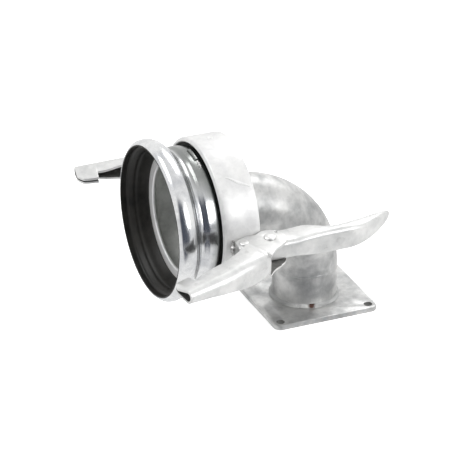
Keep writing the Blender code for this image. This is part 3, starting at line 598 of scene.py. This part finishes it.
def bell_line():
    """Middle of the bell's wall, from the bend to the rim."""
    half = BELL_WALL / 2
    neck = TUBE_R - TUBE_WALL / 2
    back = -BEND_R - GAP
    line = [(back, neck), (back - 0.0024, neck), (back - 0.0042, neck + 0.0020),
            (back - 0.0054, neck + 0.0058)]
    first = math.acos((back - BOWL_END - BOWL_Y) / BOWL_REACH)
    steps = 9
    for i in range(steps + 1):
        turn = first + (math.pi / 2 - first) * i / steps
        normal = Vector((math.cos(turn) / BOWL_REACH, math.sin(turn) / BOWL_R)).normalized()
        line.append((BOWL_Y + BOWL_REACH * math.cos(turn) - half * normal.x,
                     BOWL_R * math.sin(turn) - half * normal.y))
    waist = WAIST_R - half
    crown = CROWN_R - half
    line += [(BOWL_Y - 0.0030, BOWL_R - half - 0.0008), (WAIST_Y + 0.0035, waist + 0.0004), (WAIST_Y, waist),
             (WAIST_Y - 0.0045, waist + 0.0014), (WAIST_Y - 0.0075, waist + 0.0052),
             (WAIST_Y - 0.0100, waist + 0.0090), (WAIST_Y - 0.0138, waist + 0.0123),
             (CROWN_Y + 0.0125, crown - 0.0036), (CROWN_Y + 0.0060, crown - 0.0009), (CROWN_Y, crown),
             (CROWN_Y - 0.0070, crown - 0.0012), (RIM_Y + 0.0012, RIM_R - half + 0.0006)]
    return line


def dull_inside(piece):
    """Give the faces that look at the mouth's axis, behind the rubber, the dull inner finish."""
    middle = Vector((0, 0, AXIS_H))
    for face in piece.data.polygons:
        out = face.center - middle
        out.y = 0
        if face.normal.dot(out.normalized()) < -0.15 and face.center.y > WAIST_Y - 0.004:
            face.material_index = 1


def make_bell():
    half = BELL_WALL / 2
    line = rounded(bell_line(), 4)
    edge = RIM_T / 2
    rim = [(RIM_Y + 0.0003, RIM_R - 0.0001), (RIM_Y, RIM_R - edge * 0.6), (RIM_Y, RIM_R - edge * 1.4),
           (RIM_Y + 0.0003, RIM_R - RIM_T + 0.0001)]
    profile = shifted(line, half)[:-2] + rim + list(reversed(shifted(line, -half)[:-2]))
    shell = finish_mesh(lathe(profile, ROUND, 0.00035), "bell_shell", SHELL_ZINC, "base", ["bell"],
                        MOUTH, 50, inside=BOWL_INSIDE)
    dull_inside(shell)
    joint = -BEND_R
    wall = TUBE_R + GAP
    weld = rounded([(joint + BEAD_W, wall - 0.0002), (joint + BEAD_W * 0.5, wall + BEAD_H * 0.8),
                    (joint, wall + BEAD_H), (joint - BEAD_W * 0.4, wall + BEAD_H * 0.7),
                    (joint - BEAD_W * 0.5, wall - 0.0002)], 3)
    finish_mesh(lathe(weld, 150, 0.0012), "bell_weld_bead", WELD, "base", ["bell_weld"],
                MOUTH, 60)


def make_seal():
    half = BELL_WALL / 2
    back = [(y, r) for y, r in shifted(bell_line(), -(half + GAP)) if RIM_Y + 0.003 < y < SEAL_DEEP_Y]
    rim = RIM_Y - 0.0002
    back = rounded(back + [(RIM_Y + 0.0018, RIM_R - RIM_T - 0.0004)], 3)
    lip = [(rim + 0.0004, RIM_R - RIM_T - 0.0003), (rim, RIM_R - RIM_T - 0.0008),
           (rim + 0.0003, SEAL_LIP_R - 0.0004)]
    face = rounded([(rim + 0.0012, SEAL_LIP_R - 0.0008), (RIM_Y + 0.0036, SEAL_GROOVE_R + 0.0003),
                    (RIM_Y + 0.0076, SEAL_GROOVE_R), (RIM_Y + 0.0095, SEAL_GROOVE_R - 0.0010),
                    (RIM_Y + 0.0104, SEAL_GROOVE_R - 0.0028), (RIM_Y + 0.0130, SEAL_BEAD_R + 0.0022),
                    (RIM_Y + 0.0171, SEAL_BEAD_R), (RIM_Y + 0.0205, SEAL_BEAD_R - 0.0006),
                    (RIM_Y + 0.0240, SEAL_BEAD_R - 0.0026), (RIM_Y + 0.0310, SEAL_BEAD_R - 0.0044),
                    (SEAL_DEEP_Y - 0.0032, SEAL_DEEP_R + 0.0004),
                    (SEAL_DEEP_Y - 0.0010, SEAL_DEEP_R - 0.0008),
                    (SEAL_DEEP_Y, SEAL_DEEP_R - 0.0019)], 4)
    finish_mesh(lathe(back + lip + face, ROUND), "rubber_ring", RUBBER, "base", ["seal_ring"],
                MOUTH, 40)
    seat_y = SEAL_DEEP_Y + GAP
    outer = WAIST_R - BELL_WALL - GAP
    end = seat_y + SEAT_T
    roll = [math.radians(a) for a in range(90, -90, -15)]
    nose = [(seat_y, outer)]
    nose += [(seat_y + SEAT_ROLL * (1 - math.sin(t)), SEAT_R + SEAT_ROLL * (1 - math.cos(t))) for t in roll]
    nose += [(end, SEAT_R + SEAT_ROLL), (end, outer)]
    finish_mesh(lathe(nose, ROUND), "seat_ring", SEAT_ZINC, "base", ["seal_seat_ring"],
                MOUTH, 50)


def make_pipework():
    flat = FLANGE_SIDE / 2 - FLANGE_CORNER
    corners = ((1, 1), (-1, 1), (-1, -1), (1, -1))
    outline = []
    for k, (sx, sy) in enumerate(corners):
        for i in range(11):
            turn = math.radians(90 * k + 9 * i)
            outline.append((sx * flat + FLANGE_CORNER * math.cos(turn),
                            sy * flat + FLANGE_CORNER * math.sin(turn)))
    bm = bmesh.new()
    skin(bm, [[(x, y, z) for x, y in outline] for z in (0, FLANGE_T)])
    middle = FLANGE_T / 2
    reach = BOLT_SPACING / 2
    tools = [round_tool("bore", TUBE_R + GAP, FLANGE_T, (0, 0, middle), 96)]
    # the bolt holes' walls take the dark painted shade
    tools += [round_tool("bolt_%d" % k, BOLT_HOLE / 2, FLANGE_T, (sx * reach, sy * reach, middle),
                         mats=(BODY_ZINC, PAINTED_HOLLOW_SHADE))
              for k, (sx, sy) in enumerate(corners)]
    finish_mesh(bm, "flange", BODY_ZINC, "base", ["flange_plate"], edge=FLANGE_EDGE,
                tools=tools, inside=PAINTED_HOLLOW_SHADE)
    inner = TUBE_R - TUBE_WALL
    top = AXIS_H - BEND_R
    wall = [(TUBE_R, LEG_FOOT), (TUBE_R, top - GAP), (inner, top - GAP), (inner, LEG_FOOT)]
    finish_mesh(upright(wall, 144), "leg_tube", BODY_ZINC, "base", ["leg_pipe"])
    foot = FLANGE_T + 0.0001
    wall = TUBE_R - 0.0003
    leg = FOOT_BEAD
    bead = rounded([(wall, foot), (wall + leg, foot), (wall + leg * 0.70, foot + leg * 0.20),
                    (wall + leg * 0.36, foot + leg * 0.46), (wall + leg * 0.14, foot + leg * 0.80),
                    (wall, foot + leg)], 3)
    finish_mesh(upright(bead, 240, 0.0009, 3.0), "foot_weld", FOOT_WELD, "base", ["flange_weld"],
                smooth=60)
    low = BEAD_H * 0.5
    bead = rounded([(wall, top - BEAD_W), (wall + low, top - BEAD_W * 0.55), (wall + low * 1.25, top),
                    (wall + low, top + BEAD_W * 0.55), (wall, top + BEAD_W)], 3)
    finish_mesh(upright(bead, 240, 0.0004, 9.0), "leg_weld_bead", BODY_ZINC, "base", ["leg_weld"],
                smooth=60)
    sections = []
    for radius, order in ((TUBE_R, 1), (inner, -1)):
        shell = []
        for i in range(BEND_STEPS + 1):
            turn = (math.pi / 2) * i / BEND_STEPS
            shell.append([(x, -BEND_R + (BEND_R + out) * math.cos(turn),
                           AXIS_H - BEND_R + (BEND_R + out) * math.sin(turn))
                          for x, out in circle(radius, TUBE_FACETS)])
        sections += shell[::order]
    bm = bmesh.new()
    skin(bm, sections, loop=True)
    finish_mesh(bm, "elbow_tube", BODY_ZINC, "base", ["elbow"])


def make_stop_tab():
    foot = bowl_radius(TAB_Y - TAB_W / 2) - 0.0004
    top = foot + TAB_T
    low = TAB_Y - TAB_W / 2
    high = TAB_Y + TAB_W / 2
    finish_mesh(lathe([(low, foot), (low, top), (high, top), (high, foot)], 24, span=TAB_DEG), "stop_tab",
                SHELL_ZINC, "base", ["ring_stop_tab"], MOUTH, edge=0.0006)
    end = TAB_DEG[0] - 0.3
    bm = bmesh.new()
    sections = []
    for i in range(TAB_BEAD_STEPS + 1):
        share = i / TAB_BEAD_STEPS
        turn = math.radians(end - TAB_BEAD_DEG * share)
        swell = math.sin(math.pi * share) ** 0.5 * (0.75 + 0.25 * math.sin(share * 19))
        section = []
        for side, lift in TAB_BEAD_SHAPE:
            radius = foot + 0.0002 + lift * TAB_BEAD_H * swell
            y = TAB_Y + 0.001 + side * TAB_BEAD_HALF_W * max(swell, 0.1)
            section.append((radius * math.cos(turn), y, radius * math.sin(turn)))
        sections.append(section)
    skin(bm, sections)
    finish_mesh(bm, "stop_tab_bead", WELD, "base", ["stop_tab_weld"], MOUTH, 60)


# Ring

def make_seam():
    """Flat bead where the ring's band was joined."""
    front = RING_FRONT + 0.0146
    back = RING_BACK - 0.0065
    bm = bmesh.new()
    sections = []
    for i in range(SEAM_STEPS + 1):
        share = i / SEAM_STEPS
        swell = (0.30 + 0.70 * math.sin(math.pi * share)) * (0.86 + 0.14 * math.sin(share * 75))
        half = math.degrees(SEAM_HALF_W * swell / RING_R)
        middle = SEAM_DEG[0] + (SEAM_DEG[1] - SEAM_DEG[0]) * share + 0.35 * math.sin(share * 9)
        section = []
        for side, lift in SEAM_SHAPE:
            turn = math.radians(middle + side * half)
            radius = RING_R + 0.0001 + 0.0006 * lift * swell
            y = front + (back - front) * share
            section.append((radius * math.cos(turn), y, radius * math.sin(turn)))
        sections.append(section)
    skin(bm, sections)
    finish_mesh(bm, "ring_seam_bead", RING_ZINC, "closing_ring_body", ["ring_seam_weld"],
                RING, 60)


def make_plug():
    """Plug weld that holds the web to the band."""
    bm = bmesh.new()
    turn = math.radians(PLUG_DEG)
    out = Vector((math.cos(turn), 0, math.sin(turn)))
    side = Vector((-math.sin(turn), 0, math.cos(turn)))
    along = Vector((0, 1, 0))
    sections = []
    for share, lift in PLUG_SHAPE:
        section = []
        for x, y in circle(PLUG_R, 40):
            bend = 1 + 0.10 * noise.noise(Vector((x * 300, y * 300, 1.7)))
            spot = side * x * share * bend + along * y * share * bend
            section.append(out * (RING_R + lift) + along * BEARING_Y + spot)
        sections.append(section)
    skin(bm, sections)
    finish_mesh(bm, "ring_plug_bead", RING_ZINC, "closing_ring_body", ["ring_plug_weld"],
                RING, 60)


def make_ring():
    inner = RING_R - RING_WALL
    tip = RING_FRONT - RING_LIP_OUT
    edge = RING_BACK_ROUND
    profile = [(RING_BACK, inner), (RING_BACK, RING_R - edge)]
    profile += [(RING_BACK - edge + edge * math.cos(t), RING_R - edge + edge * math.sin(t))
                for t in (math.radians(a) for a in (15, 30, 45, 60, 75, 90))]
    profile += [(y, RING_R) for y in (-0.145, -0.158, -0.172)]
    profile += rounded([(RING_FRONT + 0.0012, RING_R), (RING_FRONT - 0.0012, RING_R - 0.0010),
                        (tip + 0.0008, RING_R - 0.0038), (tip, RING_LIP_R + 0.0022),
                        (tip + 0.0004, RING_LIP_R + 0.0006), (tip + 0.0016, RING_LIP_R),
                        (tip + 0.0042, RING_LIP_R + 0.0006), (tip + 0.0074, inner)], 4)
    profile += [(y, inner) for y in (-0.172, -0.158, -0.145)]
    finish_mesh(lathe(profile, ROUND, 0.0003), "ring_band", RING_ZINC, "closing_ring_body", ["closing_ring"],
                RING, 50)
    low = BEARING_Y - BEARING_T / 2
    high = BEARING_Y + BEARING_T / 2
    web = [(low, bowl_radius(low) + BEARING_PLAY), (low, inner - GAP), (high, inner - GAP),
           (high, bowl_radius(high) + BEARING_PLAY)]
    finish_mesh(lathe(web, 160), "ring_web", BODY_ZINC, "closing_ring_body", ["ring_bearing"],
                RING)
    make_seam()
    make_plug()


def make_lug(prefix, side):
    root = RING_R - PIN_X - 0.001
    outline = [(root, LUG_HALF_W)]
    for i in range(25):
        turn = math.radians(90 - 7.5 * i)
        outline.append((LUG_HALF_W * math.cos(turn), LUG_HALF_W * math.sin(turn)))
    outline.append((root, -LUG_HALF_W))
    bm = bmesh.new()
    skin(bm, [[(side * (PIN_X + x), PIN_Y + y, z) for x, y in outline] for z in (-LUG_HALF_H, LUG_HALF_H)])
    play = GAP if side > 0 else math.tan(math.radians(FAR_SAG)) * LUG_HALF_H + GAP
    tools = [round_tool(prefix + "_hole", PIN_R + play, 0.03, (side * PIN_X, PIN_Y, 0))]
    finish_mesh(bm, prefix + "_lug_block", LUG_ZINC, "closing_ring_body", [prefix + "_lug"],
                RING, edge=0.0008, tools=tools)
    for word, toward in (("front", -1), ("back", 1)):
        bm = bmesh.new()
        sections = []
        for i in range(LUG_BEAD_STEPS + 1):
            share = -1.05 + 2.1 * i / LUG_BEAD_STEPS
            z = share * LUG_HALF_H
            wall = math.sqrt(RING_R ** 2 - z * z) - 0.0004
            edge = PIN_Y + toward * (LUG_HALF_W - 0.0006)
            lump = noise.noise(Vector((i * 0.33, toward * 3.1, side * 5.0)))
            size = LUG_BEAD * (1.0 - 0.30 * share * share + 0.45 * lump)
            section = [(side * wall, edge, z)]
            for k in range(7):
                bulge = math.radians(90 * k / 6)
                wide = size * (0.78 + 0.22 * math.sin(2 * bulge))
                section.append((side * (wall + wide * math.cos(bulge)),
                                edge + toward * wide * math.sin(bulge), z))
            sections.append(section)
        skin(bm, sections)
        node_name = "%s_lug_weld_%s" % (prefix, word)
        finish_mesh(bm, node_name + "_bead", WELD, "closing_ring_body", [node_name], RING, 60)


# Levers

def channel_section(b_in, b_out, h_in, h_out, fold, steps):
    """Outline across a channel, from its open side round both folds."""
    fold = min(fold, h_out * 0.95, (b_out - b_in) * 0.7)
    points = [(b_in, -h_in)]
    for i in range(steps + 1):
        t = (math.pi / 2) * i / steps
        points.append((b_out - fold * (1 - math.sin(t)), -h_out + fold * (1 - math.cos(t))))
    for i in range(steps, -1, -1):
        t = (math.pi / 2) * i / steps
        points.append((b_out - fold * (1 - math.sin(t)), h_out - fold * (1 - math.cos(t))))
    points.append((b_in, h_in))
    return points


def pressed_skin(stations, side, along, steps):
    """Skin through stations of (place, inner side, outer side, half heights at both, fold radius)."""
    bm = bmesh.new()
    sections = []
    for a, b_in, b_out, h_in, h_out, fold in stations:
        section = channel_section(b_in, b_out, h_in, h_out, fold, steps)
        sections.append([(side * b, along * a, z) for b, z in section])
    skin(bm, sections)
    return bm


def eye_stations(radius, shift, half_h):
    """Stations of the round end that holds the pin."""
    rows = []
    count = 20
    for i in range(count):
        turn = math.radians(3 + 87 * i / count)
        reach = radius * math.sin(turn)
        rows.append((-radius * math.cos(turn), shift - reach, shift + reach, half_h, half_h, SHARP))
    return rows


def hook_stations(inner, outer, nose, height, eye_r, eye_shift, web_from, lean_from):
    """Stations of a hook: eye, arm with a web from web_from on, and the nose that turns in."""
    root = inner[-1][0]
    rows = eye_stations(eye_r, eye_shift, height[0][1] * MM)
    thick = curve_at(outer, nose[0][0]) - nose[0][1]
    steepest = (curve_at(height, nose[0][0]) - NOSE_HALF_H) / thick
    marks = {0, web_from - 0.1, web_from + 0.2, root}
    marks |= {a for a in range(STATION_PITCH, int(root), STATION_PITCH)
              if a < root - 1 and abs(a - web_from) > 1}
    for a in sorted(marks):
        low = curve_at(inner, a)
        high = curve_at(outer, a)
        h = curve_at(height, a)
        share = min(max((a - lean_from) / (root - lean_from), 0), 1)
        h_in = h - steepest * share * (high - low)
        fold = HOOK_FOLD_R if a > web_from else SHARP
        rows.append((a * MM, low * MM, high * MM, h_in * MM, h * MM, fold))
    fine = [nose[0]] + [(a, r) for a, r in rounded(nose, 3)[1:]]
    for a, low in fine:
        high = curve_at(outer, a)
        h = curve_at(height, a)
        h_in = max(h - steepest * (high - low), NOSE_HALF_H * 0.92)
        rows.append((a * MM, low * MM, high * MM, h_in * MM, h * MM, HOOK_FOLD_R))
    return rows


def hollow_stations(rows, sheet, web_from, nose_from, before, past):
    """Stations of the tool that hollows a channel to its sheet's thickness."""
    reach = 0.004
    placed = []
    for a, b_in, b_out, h_in, h_out, fold in rows:
        lean = (h_out - h_in) / (b_out - b_in)
        h_open = max(h_in - sheet - lean * reach, 0.0003)
        early = 0.0003 if a >= nose_from else 0
        if a < web_from:
            placed.append((a - early, b_in - reach, b_out + reach, h_open, h_out - sheet, fold))
        else:
            placed.append((a - early, b_in - reach, b_out - sheet, h_open, h_out - sheet, fold - sheet))
    first = placed[0]
    last = placed[-1]
    placed.insert(0, (first[0] - before, *first[1:]))
    if past:
        placed.append((last[0] + past, *last[1:]))
    return placed


def make_hook(name, side, rows, web_from, nose_from, pin_r, body, nodes, place, extra=()):
    tool_rows = hollow_stations(rows, HOOK_SHEET, web_from * MM, nose_from * MM, 0.01, 0.01)
    # the faces that the hollow cuts inside the hook take the dark painted shade
    tools = [tool_of(pressed_skin(tool_rows, side, -1, 6), name + "_hollow", (LEVER_ZINC, PAINTED_HOLLOW_SHADE)),
             round_tool(name + "_hole", pin_r + GAP, 0.04, (0, 0, 0))]
    tools += list(extra)
    finish_mesh(pressed_skin(rows, side, -1, 8), name, LEVER_ZINC, body, nodes, place, 40,
                CHANNEL_EDGE, tools, PAINTED_HOLLOW_SHADE)


def make_handle():
    rows = []
    marks = list(HANDLE_ROOT)
    while marks[-1] + HANDLE_PITCH < HANDLE_TIP - 1:
        marks.append(marks[-1] + HANDLE_PITCH)
    marks.append(HANDLE_TIP)
    for a in marks:
        h = curve_at(HANDLE_H, a) * MM
        rows.append((a * MM, curve_at(HANDLE_IN, a) * MM, curve_at(HANDLE_OUT, a) * MM, h, h, FOLD_R))
    hollow = [row for row in rows if row[0] < HANDLE_SOLID * MM]
    tool_rows = hollow_stations(hollow, HANDLE_SHEET, -1, 1, 0.01, 0)
    # the faces that the hollow cuts inside the handle take the dark painted shade
    tools = [tool_of(pressed_skin(tool_rows, 1, 1, 6), "handle_hollow", (LEVER_ZINC, PAINTED_HOLLOW_SHADE)),
             round_tool("handle_pin", PIN_R + GAP, 0.04, (0, 0, 0)),
             round_tool("handle_rivet", RIVET_R + GAP, 0.04, (RIVET_X - PIN_X, RIVET_Y - PIN_Y, 0))]
    finish_mesh(pressed_skin(rows, 1, 1, 8), "handle_horn", LEVER_ZINC, "handle_body", ["lever_handle"],
                HANDLE, 40, CHANNEL_EDGE, tools, PAINTED_HOLLOW_SHADE)


def make_rivet(name, radius, half, head_r, head_t, body, nodes, place):
    """Rivet or pin with a domed head above and a flat one below."""
    top = half + GAP
    rows = [(head_r * 0.35, -top - head_t), (head_r * 0.7, -top - head_t * 0.82),
            (head_r * 0.93, -top - head_t * 0.4), (head_r, -top), (radius, -top), (radius, top),
            (head_r, top)]
    for i in range(9):
        t = math.radians(10 * i)
        rows.append((head_r * math.cos(t) ** 0.8, top + head_t * (0.22 + 0.78 * math.sin(t))))
    rows.append((head_r * 0.08, top + head_t))
    bm = bmesh.new()
    skin(bm, [[(x, y, z) for x, y in circle(r, 48)] for r, z in rows])
    finish_mesh(bm, name, RIVET_ZINC, body, nodes, place, 50)


def make_levers():
    half = HANDLE_H[0][1] * MM
    make_handle()
    make_rivet("lug_pin", PIN_R, half, HEAD_R, HEAD_T, "handle_body", ["near_lug_pin"], HANDLE)
    rows = hook_stations(ARM_IN, ARM_OUT, NOSE_IN, ARM_H, EYE_R, EYE_SHIFT, WEB_FROM, LEAN_FROM)
    hole = (SPARE_HOLE_AT[1], -SPARE_HOLE_AT[0], ARM_H[0][1] * MM)
    make_hook("hook_arm", 1, rows, WEB_FROM, NOSE_IN[0][0], RIVET_R, "hook_body", ["lever_hook"], ARM,
              [round_tool("spare_hole", SPARE_HOLE_R, 0.01, hole)])
    make_rivet("arm_rivet", RIVET_R, ARM_H[0][1] * MM, RIVET_HEAD_R, RIVET_HEAD_T, "rivet_body",
               ["lever_rivet"], ARM)
    ahead, aside = FAR_OFFSET
    inner = FAR_IN + tuple((a - ahead, b - aside) for a, b in ARM_IN if a > FAR_NOSE_FROM)
    nose = tuple((a - ahead, b - aside) for a, b in NOSE_IN)
    rows = hook_stations(inner, FAR_OUT, nose, FAR_H, FAR_EYE_R, 0, FAR_WEB_FROM, LEAN_FROM - ahead)
    make_hook("far_hook_arm", -1, rows, FAR_WEB_FROM, nose[0][0], PIN_R, "far_hook_body", ["far_hook"], FAR)
    make_rivet("far_pin", PIN_R, FAR_H[0][1] * MM, HEAD_R, HEAD_T, "far_hook_body", ["far_lug_pin"], FAR)


# Camera, floor and light

def make_camera():
    lens = bpy.data.cameras.new("camera")
    lens.sensor_width = SENSOR_MM
    lens.lens = LENS_MM
    lens.clip_end = 50
    cam = bpy.data.objects.new("camera", lens)
    turn = Matrix(CAMERA_AXES).transposed().to_4x4()
    cam.matrix_world = Matrix.Translation(CAMERA_AT) @ turn
    bpy.context.collection.objects.link(cam)
    bpy.context.scene.camera = cam


def make_floor():
    """Pale floor that stays near white for the camera and lets the metal see the room instead."""
    bm = bmesh.new()
    corners = ((-1, -1), (1, -1), (1, 1), (-1, 1))
    bm.faces.new([bm.verts.new((x * FLOOR_HALF, y * FLOOR_HALF, FLOOR_Z)) for x, y in corners])
    mesh = bpy.data.meshes.new("floor")
    bm.to_mesh(mesh)
    bm.free()
    floor = bpy.data.objects.new("floor", mesh)
    bpy.context.collection.objects.link(floor)
    mat = bpy.data.materials.new("floor")
    mat.use_nodes = True
    tree = mat.node_tree
    shader = tree.nodes["Principled BSDF"]
    shader.inputs["Base Color"].default_value = (0.90, 0.90, 0.90, 1)
    shader.inputs["Roughness"].default_value = 0.9
    shader.inputs["Specular IOR Level"].default_value = 0.1
    shader.inputs["Emission Color"].default_value = (1, 1, 1, 1)
    path = node(tree, "ShaderNodeLightPath")
    glow = node(tree, "ShaderNodeMath", operation="MULTIPLY")
    glow.inputs[1].default_value = FLOOR_GLOW
    tree.links.new(path.outputs["Is Camera Ray"], glow.inputs[0])
    tree.links.new(glow.outputs[0], shader.inputs["Emission Strength"])
    clear = node(tree, "ShaderNodeBsdfTransparent")
    either = either_shader(tree, path.outputs["Is Glossy Ray"], shader, clear)
    tree.links.new(either.outputs[0], tree.nodes["Material Output"].inputs["Surface"])
    mesh.materials.append(mat)


def either_shader(tree, share, no, yes):
    """The shader no where share is 0, and yes where it is 1."""
    item = node(tree, "ShaderNodeMixShader")
    tree.links.new(share, item.inputs[0])
    tree.links.new(no.outputs[0], item.inputs[1])
    tree.links.new(yes.outputs[0], item.inputs[2])
    return item


def make_world():
    """White for the camera, soft light on the object, and a room with a dark side in the metal."""
    world = bpy.data.worlds.new("studio")
    bpy.context.scene.world = world
    world.use_nodes = True
    tree = world.node_tree
    tree.nodes.clear()
    soft = node(tree, "ShaderNodeBackground", Color=(1, 1, 1, 1), Strength=SOFT_LIGHT)
    white = node(tree, "ShaderNodeBackground", Color=(1, 1, 1, 1), Strength=1.0)
    room = node(tree, "ShaderNodeBackground", Strength=1.0)
    coords = node(tree, "ShaderNodeTexCoord")
    toward = vector_value(tree, coords.outputs["Generated"], "DOT_PRODUCT", DARK_SIDE, (0, 0))
    tree.links.new(ramp(tree, toward, ROOM), room.inputs["Color"])
    path = node(tree, "ShaderNodeLightPath")
    lit = either_shader(tree, path.outputs["Is Glossy Ray"], soft, room)
    seen = either_shader(tree, path.outputs["Is Camera Ray"], lit, white)
    out = node(tree, "ShaderNodeOutputWorld")
    tree.links.new(seen.outputs[0], out.inputs["Surface"])


def lamp(name, place, aim, size, power):
    light = bpy.data.lights.new(name, "AREA")
    light.shape = "RECTANGLE"
    light.size = size[0]
    light.size_y = size[1]
    light.energy = power
    obj = bpy.data.objects.new(name, light)
    obj.location = place
    obj.rotation_euler = (Vector(aim) - Vector(place)).to_track_quat("-Z", "Y").to_euler()
    bpy.context.collection.objects.link(obj)


make_camera()
make_floor()
make_world()
for values in LAMPS:
    lamp(*values)
make_pipework()
make_bell()
make_seal()
make_stop_tab()
make_ring()
make_lug("near", 1)
make_lug("far", -1)
make_levers()
bpy.context.scene.view_settings.view_transform = "Standard"
